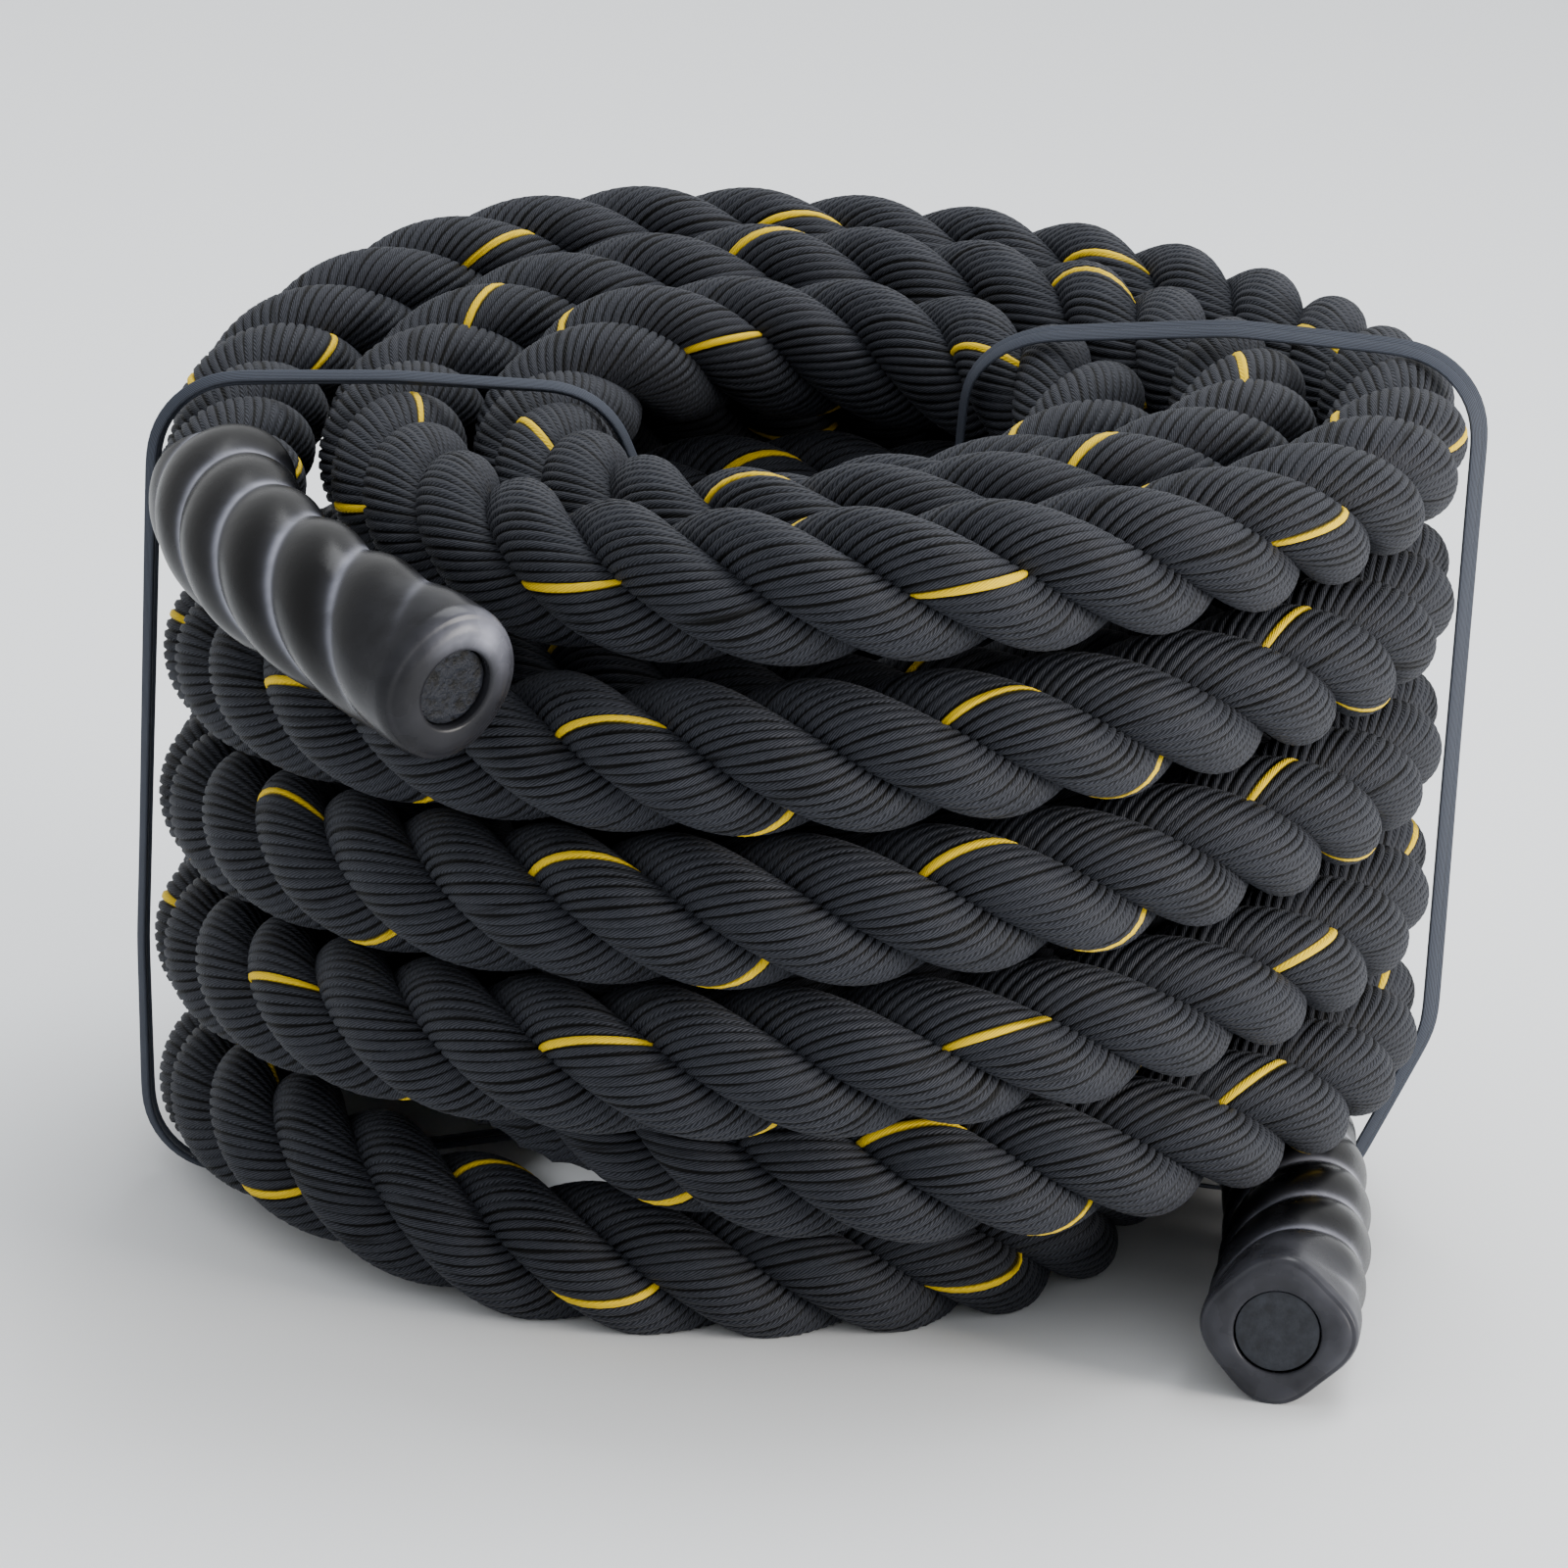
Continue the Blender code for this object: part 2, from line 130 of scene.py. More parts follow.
def smooth_run(places, knots, values):
    """A smooth curve through the values at the knots that never swings past them."""
    secants = np.diff(values) / np.diff(knots)
    slopes = np.empty_like(values)
    slopes[0], slopes[-1] = secants[0], secants[-1]
    slopes[1:-1] = (values[2:] - values[:-2]) / (knots[2:] - knots[:-2])
    steepest = 3 * np.minimum(abs(secants[:-1]), abs(secants[1:]))
    slopes[1:-1] = np.clip(slopes[1:-1], -steepest, steepest)
    slopes[1:-1][secants[:-1] * secants[1:] <= 0] = 0
    run = np.clip(np.searchsorted(knots, places, side="right") - 1, 0, len(knots) - 2)
    width = knots[run + 1] - knots[run]
    u = (places - knots[run]) / width
    start = (2 * u**3 - 3 * u**2 + 1) * values[run] + (u**3 - 2 * u**2 + u) * width * slopes[run]
    end = (3 * u**2 - 2 * u**3) * values[run + 1] + (u**3 - u**2) * width * slopes[run + 1]
    return start + end


def along(points):
    """How far along the line each of its points lies."""
    return np.concatenate([[0.0], np.cumsum(np.linalg.norm(np.diff(points, axis=0), axis=1))])


def unit(vectors):
    """The same vectors at length one."""
    return vectors / np.linalg.norm(vectors, axis=-1, keepdims=True)


def every(points, places):
    """Points of the line at the given places along it."""
    run = along(points)
    return np.stack([np.interp(places, run, points[:, axis]) for axis in range(3)], axis=1)


def tail(face, way, route, length):
    """A free end: out of the winding the way it goes, then along its own route."""
    knots = np.array([face, face + way * ROPE_DIAMETER / 4, face + way * ROPE_DIAMETER / 2, *route])
    run = along(knots)
    fine = np.linspace(0, run[-1], CURVE_POINTS)
    curve = np.stack([smooth_run(fine, run, knots[:, axis]) for axis in range(3)], axis=1)
    ahead = unit(curve[-1] - curve[-2])
    return every(np.vstack([curve, curve[-1] + ahead * length]), np.arange(0, length, ROUTE_STEP))


stations = list(LOWER_LAY)
for turn in range(OUTER_TURNS):
    stations += [(OUTER_START + TURN_DEGREES * turn + a, r, z + OUTER_RISE * turn)
                 for a, r, z in OUTER_ROW]
stations += INWARD_LAY
for turn in range(TOP_TURNS):
    for a, step, z in TOP_TURN:
        bulge = TOP_BULGE * turn * step * (1 - step)
        stations.append((TOP_START + TURN_DEGREES * turn + a,
                         TOP_INNER_RADIUS + TOP_STEP * (turn + step) + bulge, z))
stations += LAST_LAY
degrees, radii, heights = np.array(stations).T
turned = np.arange(degrees[0], degrees[-1] + 0.5, 1.0)
winding = PITCH * np.stack([
    smooth_run(turned, degrees, radii) * np.cos(np.radians(turned)),
    smooth_run(turned, degrees, radii) * np.sin(np.radians(turned)),
    smooth_run(turned, degrees, heights),
], axis=1)
# Each free end leaves level, the way that the last 15 degrees of the winding go
flat = np.array([1.0, 1.0, 0.0])
lower_way = unit((winding[0] - winding[15]) * flat)
upper_way = unit((winding[-1] - winding[-16]) * flat)
lower_face = winding[0] + lower_way * ROPE_DIAMETER
upper_face = winding[-1] + upper_way * ROPE_DIAMETER
rough = np.vstack([
    tail(lower_face, lower_way, LOWER_ROUTE, LOWER_TAIL_LENGTH)[::-1],
    winding,
    tail(upper_face, upper_way, UPPER_ROUTE, UPPER_TAIL_LENGTH),
])
even = every(rough, np.arange(0, along(rough)[-1], ROUTE_STEP))
# A rope this thick can't follow a sharp change, so the route is averaged over 23 mm, twice
kernel = np.ones(2 * STIFFNESS_REACH + 1) / (2 * STIFFNESS_REACH + 1)
for _ in range(2):
    padded = np.vstack([
        2 * even[0] - even[STIFFNESS_REACH:0:-1],
        even,
        2 * even[-1] - even[-2:-STIFFNESS_REACH - 2:-1],
    ])
    even = np.stack([np.convolve(padded[:, axis], kernel, "valid") for axis in range(3)], axis=1)
route = every(even, np.arange(0, along(even)[-1], ROUTE_STEP)) + AXIS
ROPE_LENGTH = along(route)[-1]


# The rope. Three strands laid right-handed on a rope walk, each of spun polyester yarns that
# turn back the other way and so lie nearly along the rope. One yarn of one strand is a bright
# yellow marker. A body with three lobes fills the strands from inside and runs on to the ends.
LAY = 0.096
LAY_START = 0.22
SLEEVED_EXTRA_TURNS = 0.35
STRANDS = 3
STRAND_RADIUS = 0.0096
LAY_RADIUS = 0.0099
YARNS = 16
YARN_SPOTS = 4
YARN_RETURN = LAY / 3.06
YARN_GROOVE = 0.0010
YARN_WANDER = ((0.15, 3.1), (0.10, 7.7))
PATTERN_UNIT = 0.0025
PLY_SPACING = 0.0007854
FLECK_SIZE = 0.00111
GROOVE_SHADE_LENGTH = 0.015625
GROOVE_SHADE_PATCHES_PER_YARN = 1.3
SLEEVE_LENGTH = 0.145
SQUEEZE = 0.95
SQUEEZE_RUN = 0.012
STRAND_FLOOR_GAP = 0.0003
BODY_AROUND = 18
BODY_RINGS = 2270
BODY_CORE = 0.0088
BODY_LOBE = 0.0088
BODY_LOBE_POWER = 0.8
BODY_FLOOR_GAP = 0.0006


def mesh_piece(name, points, faces, material):
    """A piece from its corners and its four-sided faces, with its place in its mesh."""
    mesh = bpy.data.meshes.new(name)
    mesh.vertices.add(len(points))
    mesh.vertices.foreach_set("co", np.ascontiguousarray(points, np.float32).ravel())
    mesh.loops.add(faces.size)
    mesh.polygons.add(len(faces))
    starts = np.arange(0, faces.size, faces.shape[1], dtype=np.int32)
    mesh.polygons.foreach_set("loop_start", starts)
    mesh.loops.foreach_set("vertex_index", np.ascontiguousarray(faces, np.int32).ravel())
    mesh.update(calc_edges=True)
    mesh.materials.append(material)
    mesh.shade_smooth()
    piece = bpy.data.objects.new(name, mesh)
    bpy.context.scene.collection.objects.link(piece)
    return piece


def skin(rings, around, loop=False):
    """Four-sided faces between rings of corners."""
    count = rings if loop else rings - 1
    ring, spot = np.meshgrid(np.arange(count), np.arange(around), indexing="ij")
    after, beside = (ring + 1) % rings, (spot + 1) % around
    return np.stack([
        ring * around + spot,
        ring * around + beside,
        after * around + beside,
        after * around + spot,
    ], axis=-1).reshape(-1, 4)


def end_lids(rings, around):
    """Faces that close a tube's first and last ring, on corners added after all its rings."""
    strip = np.arange(around // 2 - 1)
    lid = np.stack([strip, strip + 1, around - 2 - strip, around - 1 - strip], axis=-1)
    return np.vstack([lid[:, ::-1] + rings * around, lid + (rings + 1) * around])


def lay_frame(places):
    """Points of the route and, at each, the way along it, level across it and up from both."""
    centre = every(route, places)
    way = unit(every(route, places + 0.002) - every(route, places - 0.002))
    across = unit(np.cross(way, [0.0, 0.0, 1.0]))
    return centre, way, across, np.cross(across, way)


def laid(places):
    """Turns of the lay up to each place. The ends were twisted tighter before their sleeves."""
    in_lower = np.minimum(places / SLEEVE_LENGTH, 1) - 1
    in_upper = np.maximum(1 - (ROPE_LENGTH - places) / SLEEVE_LENGTH, 0)
    return places / LAY + LAY_START + SLEEVED_EXTRA_TURNS * (in_lower + in_upper)


def squeezed(places):
    """The rope's size at each place, as a share: the sleeves have drawn it in."""
    clear = np.minimum(places - SLEEVE_LENGTH, ROPE_LENGTH - SLEEVE_LENGTH - places)
    return 1 - (1 - SQUEEZE) * np.clip(0.5 - clear / SQUEEZE_RUN, 0, 1)[:, None]


def linear(code):
    """An sRGB hex colour as the linear one that a shader takes."""
    values = [int(code[i:i + 2], 16) / 255 for i in (1, 3, 5)]
    return (*(v / 12.92 if v <= 0.04045 else ((v + 0.055) / 1.055) ** 2.4 for v in values), 1.0)


def add_node(tree, kind, values=(), links=(), **settings):
    """A shader node with its settings, its values and the links into it."""
    node = tree.nodes.new(kind)
    for key, value in settings.items():
        setattr(node, key, value)
    for key, value in dict(values).items():
        node.inputs[key].default_value = value
    for source, key in links:
        tree.links.new(source, node.inputs[key])
    return node


def yarn_finish(name, groove_shade_colour, yarn_colour, fibre_colour):
    """Spun polyester staple: matt, faintly slanted with plies, flecked with paler fibre on the
    yarns' backs, and with a painted shade, near black, in the grooves between them, where no light
    gets in."""
    material = bpy.data.materials.new(name)
    material.use_nodes = True
    tree = material.node_tree
    shader = tree.nodes["Principled BSDF"]
    shader.inputs["Roughness"].default_value = 0.6
    shader.inputs["IOR"].default_value = 1.57
    shader.inputs["Specular IOR Level"].default_value = 0.10
    shader.inputs["Sheen Weight"].default_value = 0.03
    shader.inputs["Sheen Roughness"].default_value = 0.4
    place = add_node(tree, "ShaderNodeTexCoord")
    # The plies cross a yarn at a slant, drawn at 0.8 mm where the real ones are 0.5 mm, so
    # that they show. A slanted wave at scale 1 repeats every tau / 10
    ply_scale = math.tau / 10 * PATTERN_UNIT / PLY_SPACING
    plies = add_node(tree, "ShaderNodeTexWave",
                     {"Scale": ply_scale, "Distortion": 1.5, "Detail": 2.0},
                     [(place.outputs["UV"], "Vector")], bands_direction="DIAGONAL")
    flecks = add_node(tree, "ShaderNodeTexNoise", {"Scale": 1 / FLECK_SIZE, "Detail": 2.0},
                      [(place.outputs["Object"], "Vector")])
    both = add_node(tree, "ShaderNodeMath", {},
                    [(plies.outputs["Fac"], 0), (flecks.outputs["Fac"], 1)])
    pale = add_node(tree, "ShaderNodeMapRange", {"From Min": 0.65, "From Max": 1.4},
                    [(both.outputs["Value"], "Value")])
    backs = add_node(tree, "ShaderNodeMix", {6: linear(yarn_colour), 7: linear(fibre_colour)},
                     [(pale.outputs["Result"], 0)], data_type="RGBA")
    crest = add_node(tree, "ShaderNodeAttribute", attribute_name="crest")
    # The painted groove shade is darker and wider along some grooves for a centimetre or two, and
    # fainter along others
    groove_shade_scale = (PATTERN_UNIT / GROOVE_SHADE_LENGTH, GROOVE_SHADE_PATCHES_PER_YARN, 1.0)
    drawn_out = add_node(tree, "ShaderNodeMapping", {"Scale": groove_shade_scale},
                         [(place.outputs["UV"], "Vector")])
    groove_shade_noise = add_node(tree, "ShaderNodeTexNoise", {"Scale": 1.0, "Detail": 1.0},
                       [(drawn_out.outputs["Vector"], "Vector")])
    closed = add_node(tree, "ShaderNodeMath", {1: 2.4},
                      [(groove_shade_noise.outputs["Fac"], 0), (crest.outputs["Fac"], 2)],
                      operation="MULTIPLY_ADD")
    rise = add_node(tree, "ShaderNodeMapRange", {"From Min": 1.3, "From Max": 2.0},
                    [(closed.outputs["Value"], "Value")], interpolation_type="SMOOTHSTEP")
    # Painted shade: the near black groove colour takes the place of the yarn colour down in the
    # grooves
    colour = add_node(tree, "ShaderNodeMix", {6: linear(groove_shade_colour)},
                      [(rise.outputs["Result"], 0), (backs.outputs[2], 7)], data_type="RGBA")
    tree.links.new(colour.outputs[2], shader.inputs["Base Color"])
    bump = add_node(tree, "ShaderNodeBump", {"Strength": 0.45, "Distance": 0.0003},
                    [(both.outputs["Value"], "Height")])
    tree.links.new(bump.outputs["Normal"], shader.inputs["Normal"])
    return material


# The first colour of each finish is the painted shade in its grooves
black_yarn = yarn_finish("spun_polyester_black", "#010101", "#191b20", "#36383f")
yellow_yarn = yarn_finish("spun_polyester_yellow", "#2a2402", "#d2ae00", "#e8c400")


def strand_line(places, strand):
    """The middle of one strand, and the way out of the rope from there."""
    centre, way, across, up = lay_frame(places)
    turn = -math.tau * (laid(places) + strand / STRANDS)
    out = np.cos(turn)[:, None] * across + np.sin(turn)[:, None] * up
    return centre + out * LAY_RADIUS * squeezed(places), out


def strand_piece(name, first, last, step):
    """All three strands between two places along the rope."""
    places = np.linspace(first, last, max(2, round((last - first) / step)) + 1)
    around = YARNS * YARN_SPOTS
    spots = np.arange(around)
    # Each yarn's first corner lies down in the groove beside it
    rise = np.where(spots % YARN_SPOTS == 0, 0.0, 1.0)
    # The yarns turn back a little more here and less there, in slow waves
    wander = sum(size * np.sin(places * rate) for size, rate in YARN_WANDER)
    turns = math.tau * (spots[None, :] / around - (places / YARN_RETURN + wander)[:, None])
    radius = STRAND_RADIUS * squeezed(places) - YARN_GROOVE * (1 - rise[None, :])
    side_faces, lids = skin(len(places), around), end_lids(len(places), around)
    # One unit of the pattern is 2.5 mm of rope one way and one yarn the other. The faces that
    # close a ring run on past its last corner, and not back to its first
    spot_of = side_faces % around
    spot_of = np.where((spot_of == 0) & (spot_of[:, :1] == around - 1), around, spot_of)
    along_yarn = np.stack([places[side_faces // around] / PATTERN_UNIT, spot_of / YARN_SPOTS],
                          axis=-1)
    corners, faces, yellow = [], [], []
    for strand in range(STRANDS):
        middle, out = strand_line(places, strand)
        ahead = unit(strand_line(places + ROUTE_STEP, strand)[0]
                     - strand_line(places - ROUTE_STEP, strand)[0])
        out = unit(out - ahead * np.sum(out * ahead, axis=1, keepdims=True))
        side = np.cross(ahead, out)
        rings = (middle[:, None] + out[:, None] * (np.cos(turns) * radius)[..., None]
                 + side[:, None] * (np.sin(turns) * radius)[..., None])
        rings[..., 2] = np.maximum(rings[..., 2], STRAND_FLOOR_GAP)
        faces.append(np.vstack([side_faces, lids]) + strand * (len(places) + 2) * around)
        corners += [rings.reshape(-1, 3), rings[0], rings[-1]]
        marker = (side_faces[:, 0] % around // YARN_SPOTS == 0) & (strand == 0)
        yellow += [marker, np.zeros(len(lids), bool)]
    piece = mesh_piece(name, np.vstack(corners), np.vstack(faces), black_yarn)
    piece.data.materials.append(yellow_yarn)
    piece.data.polygons.foreach_set("material_index", np.concatenate(yellow).astype(np.int32))
    # The crest mark is 0 in the grooves, where the material paints its groove shade
    crest = piece.data.attributes.new("crest", "FLOAT", "POINT")
    crest.data.foreach_set("value", np.tile(rise, STRANDS * (len(places) + 2)).astype(np.float32))
    flat = np.vstack([along_yarn.reshape(-1, 2), np.zeros((lids.size, 2))])
    layer = piece.data.uv_layers.new(name="along_yarn")
    layer.data.foreach_set("uv", np.tile(flat, (STRANDS, 1)).astype(np.float32).ravel())
    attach(piece, "root")
    return piece


# Coarser rings where only the hole shows the rope, and again where outer turns cover it
strand_places = [SLEEVE_LENGTH - 0.02, 1.004, 2.324, 3.524]
strand_places += list(np.linspace(3.524, ROPE_LENGTH - SLEEVE_LENGTH + 0.02, 8)[1:])
strand_steps = [0.0020, 0.0028, 0.0060] + [0.0020] * 7
strand_pieces = [
    strand_piece(f"rope_strands_{number}", *stretch) for number, stretch in
    enumerate(zip(strand_places[:-1], strand_places[1:], strand_steps), 1)]

# The body starts and stops just short of the discs that close the ends
body_places = np.linspace(0.004, ROPE_LENGTH - 0.006, BODY_RINGS)
centre, way, across, up = lay_frame(body_places)
spots = math.tau * np.arange(BODY_AROUND) / BODY_AROUND
lobes = abs(np.cos(STRANDS / 2 * spots)) ** BODY_LOBE_POWER
reach = (BODY_CORE + BODY_LOBE * lobes)[None, :] * squeezed(body_places)
turns = spots[None, :] - math.tau * laid(body_places)[:, None]
rings = (centre[:, None] + across[:, None] * (np.cos(turns) * reach)[..., None]
         + up[:, None] * (np.sin(turns) * reach)[..., None])
rings[..., 2] = np.maximum(rings[..., 2], BODY_FLOOR_GAP)
body_faces = np.vstack([skin(len(rings), BODY_AROUND), end_lids(len(rings), BODY_AROUND)])
rope_body = mesh_piece("rope_body", np.vstack([rings.reshape(-1, 3), rings[0], rings[-1]]),
                       body_faces[:, ::-1], black_yarn)
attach(rope_body, "root")
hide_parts("rope_coil", "upper_tail", "lower_tail")


# The sleeves. Black polyolefin shrink tube as long as one hand, drawn down hot over each end
# of the rope, so that the strands show through it as soft glossy waves, and folded in over
# the cut end.
SLEEVE_CREST = 0.0197
SLEEVE_VALLEY = 0.0173
SLEEVE_WALL = 0.0013
SLEEVE_AROUND = 168
SLEEVE_STEP = 0.0012
SLEEVE_INNER_STEP = 0.004
SLEEVE_FLOOR_GAP = 0.0001
VALLEY_SOFTNESS = 0.006
VALLEY_HIGHLIGHTS = ((0.85, 0.18), (0.12, 0.45))
END_RADIUS = 0.0204
END_RUN = 0.034
END_WOBBLE = 0.0003
FOLD_STEP = 0.0004
FOLD_BENDS = np.radians([0, 10, 20, 30, 38, 42, 50, 60, 70, 80, 90])
FOLD_STEP_BEND = math.radians(40)
HIGHLIGHT_TURN = 2.0
HIGHLIGHT_SPREAD = 0.75
CLOUD_SIZE = 0.0111
RIPPLE_SIZE = 0.00556

# Moulded smooth and then shrunk: a black gloss that is clouded here and there and ripples a
# little in its highlights. Painted highlights, pale grey mixed into the black, lie along its
# valleys and over its folded ends
shrink_tube = bpy.data.materials.new("polyolefin_shrink_tube")
shrink_tube.use_nodes = True
tree = shrink_tube.node_tree
shader = tree.nodes["Principled BSDF"]
shader.inputs["IOR"].default_value = 1.5
shader.inputs["Specular IOR Level"].default_value = 0.15
place = add_node(tree, "ShaderNodeTexCoord")
painted_highlight = add_node(tree, "ShaderNodeAttribute", attribute_name="painted_highlight")
cloud = add_node(tree, "ShaderNodeTexNoise", {"Scale": 1 / CLOUD_SIZE, "Detail": 3.0},
                 [(place.outputs["Object"], "Vector")])
highlight_amount = add_node(tree, "ShaderNodeMath", {},
                    [(painted_highlight.outputs["Fac"], 0), (cloud.outputs["Fac"], 1)],
                    operation="MULTIPLY")
# Painted highlight: the mark, broken up by the clouding, mixes pale grey into the black
tint = add_node(tree, "ShaderNodeMix", {6: linear("#040405"), 7: linear("#a9abba")},
                [(highlight_amount.outputs["Value"], 0)], data_type="RGBA")
tree.links.new(tint.outputs[2], shader.inputs["Base Color"])
gloss = add_node(tree, "ShaderNodeMapRange", {"To Min": 0.16, "To Max": 0.40},
                 [(cloud.outputs["Fac"], "Value")])
tree.links.new(gloss.outputs["Result"], shader.inputs["Roughness"])
ripple = add_node(tree, "ShaderNodeTexNoise", {"Scale": 1 / RIPPLE_SIZE, "Detail": 3.0},
                  [(place.outputs["Object"], "Vector")])
bump = add_node(tree, "ShaderNodeBump", {"Strength": 0.15, "Distance": 0.0005},
                [(ripple.outputs["Fac"], "Height")])
tree.links.new(bump.outputs["Normal"], shader.inputs["Normal"])


def sleeve_piece(name, node, end_place, mouth_place, rim_inner, recess, rounding, flats, painted_sheen,
                 pale):
    """One sleeve, from its open mouth over the folded end and back inside, closed on itself."""
    toward = 1.0 if end_place > mouth_place else -1.0
    length = abs(end_place - mouth_place)
    spots = math.tau * np.arange(SLEEVE_AROUND) / SLEEVE_AROUND
    lobe = np.sqrt(np.cos(STRANDS / 2 * spots) ** 2 + VALLEY_SOFTNESS)
    waves = SLEEVE_VALLEY + (SLEEVE_CREST - SLEEVE_VALLEY) * lobe
    # A painted highlight runs pale along the bottom of each valley, with a fainter band beside it
    line = sum(white * np.exp(-(lobe / width) ** 2) for white, width in VALLEY_HIGHLIGHTS)
    rings, painted_highlights = [], []

    def add_ring(t, near, inward, hole=0.0, painted_highlight=0.0, stretch=0.0):
        """One ring: the waves blended into the end's outline, drawn inward or to the hole."""
        at = np.array([mouth_place + toward * t])
        middle, _, level, rise = (v[0] for v in lay_frame(at))
        turn = spots - math.tau * laid(at)
        outline = END_RADIUS - flats * (1 - np.cos(4 * turn)) / 2
        outline = outline + END_WOBBLE * np.sin(3 * turn + 1)
        radius = waves + (outline - waves) * near - inward
        radius = radius + (rim_inner - radius) * hole
        rings.append(middle + level * (np.cos(turn) * radius)[:, None]
                     + rise * (np.sin(turn) * radius)[:, None])
        # A painted highlight patch on one side of the fold, strongest at one turn round the ring
        off_patch = np.mod(turn - HIGHLIGHT_TURN + math.pi, math.tau) - math.pi
        patch = np.exp(-(off_patch / HIGHLIGHT_SPREAD) ** 2)
        painted_highlights.append(np.broadcast_to(painted_highlight + stretch * patch, spots.shape))

    # Along the tube the painted valley highlight fades into the painted sheen over the end
    for t in np.arange(0.0, length - rounding, SLEEVE_STEP):
        near = np.clip((t - length + rounding + END_RUN) / END_RUN, 0, 1)
        near = near * near * (3 - 2 * near)
        add_ring(t, near, 0.0, painted_highlight=line * (1 - near) + painted_sheen * near)
    for bend in FOLD_BENDS:
        ledge = FOLD_STEP * (bend > FOLD_STEP_BEND)
        add_ring(length - rounding * (1 - math.sin(bend)) - ledge, 1.0,
                 rounding * (1 - math.cos(bend)) + ledge,
                 painted_highlight=painted_sheen, stretch=pale * math.sin(bend))
    # Across the folded face, and down its hole past the disc: share of the way in, and depth
    for hole, depth in ((0.3, 0.0003), (0.65, 0.0003), (0.9, 0.0004), (1.0, 0.0010),
                        (1.0, recess + 0.002)):
        add_ring(length - depth, 1.0, rounding + FOLD_STEP, hole, painted_sheen, pale * (1 - hole))
    add_ring(length - recess - 0.003, 0.0, SLEEVE_WALL)
    for t in np.arange(length - 0.010, 0.0005, -SLEEVE_INNER_STEP):
        add_ring(t, 0.0, SLEEVE_WALL)
    rings = np.array(rings)
    rings[..., 2] = np.maximum(rings[..., 2], SLEEVE_FLOOR_GAP)
    faces = skin(len(rings), SLEEVE_AROUND, loop=True)
    faces = faces if toward < 0 else faces[:, ::-1]
    piece = mesh_piece(name, rings.reshape(-1, 3), faces, shrink_tube)
    values = piece.data.attributes.new("painted_highlight", "FLOAT", "POINT")
    values.data.foreach_set("value", np.concatenate(painted_highlights).astype(np.float32))
    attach(piece, "root")
    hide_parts(node)
    return piece


# Both sleeves get a painted sheen over the folded end, and the upper one a painted highlight on one
# side of its fold as well
LOWER_RIM = 0.0112
LOWER_RECESS = 0.0007
lower_sleeve = sleeve_piece(
    "lower_shrink_sleeve", "lower_sleeve", 0.0, SLEEVE_LENGTH, LOWER_RIM, LOWER_RECESS,
    rounding=0.0040, flats=0.0022, painted_sheen=0.15, pale=0.0)
UPPER_RIM = 0.0103
UPPER_RECESS = 0.0026
upper_sleeve = sleeve_piece(
    "upper_shrink_sleeve", "upper_sleeve", ROPE_LENGTH, ROPE_LENGTH - SLEEVE_LENGTH, UPPER_RIM,
    UPPER_RECESS, rounding=0.0062, flats=0.0005, painted_sheen=0.06, pale=0.9)


# The end discs. Glue poured over the cut yarns of each end, to keep them from fraying, shows
# as a disc in the sleeve's fold. It is broken and set back at the upper end, smooth and
# nearly flush at the lower one.
DISC_DEPTH = 0.004
DISC_SIDES = 64
DISC_CUTS = 4
DISC_WORN_EDGE = 0.0004
GRAIN_SIZE = 0.003125


def disc_finish(name, hollow_shade_colour, raised, first, last, relief):
    """Set glue with cut yarn ends in it: slate grey, with a painted shade where its relief sinks
    between them.
    """
    material = bpy.data.materials.new(name)
    material.use_nodes = True
    tree = material.node_tree
    shader = tree.nodes["Principled BSDF"]
    shader.inputs["Roughness"].default_value = 0.42
    shader.inputs["Specular IOR Level"].default_value = 0.25
    place = add_node(tree, "ShaderNodeTexCoord")
    grain = add_node(tree, "ShaderNodeTexNoise",
                     {"Scale": 1 / GRAIN_SIZE, "Detail": 6.0, "Roughness": 0.65},
                     [(place.outputs["Object"], "Vector")])
    patch = add_node(tree, "ShaderNodeMapRange", {"From Min": first, "From Max": last},
                     [(grain.outputs["Fac"], "Value")])
    # Painted shade: the noise that makes the bumps picks the darker colour where the relief is low
    tint = add_node(tree, "ShaderNodeMix", {6: linear(hollow_shade_colour), 7: linear(raised)},
                    [(patch.outputs["Result"], 0)], data_type="RGBA")
    tree.links.new(tint.outputs[2], shader.inputs["Base Color"])
    bump = add_node(tree, "ShaderNodeBump", {"Strength": relief, "Distance": 0.0014},
                    [(grain.outputs["Fac"], "Height")])
    tree.links.new(bump.outputs["Normal"], shader.inputs["Normal"])
    return material


# The first colour of each glue is the painted shade in the low spots of its relief
smooth_glue = disc_finish("set_glue_poured_flush", "#181a1f", "#282b32", 0.35, 0.70, 0.25)
broken_glue = disc_finish("set_glue_over_cut_yarn", "#030304", "#191c24", 0.40, 0.52, 1.0)


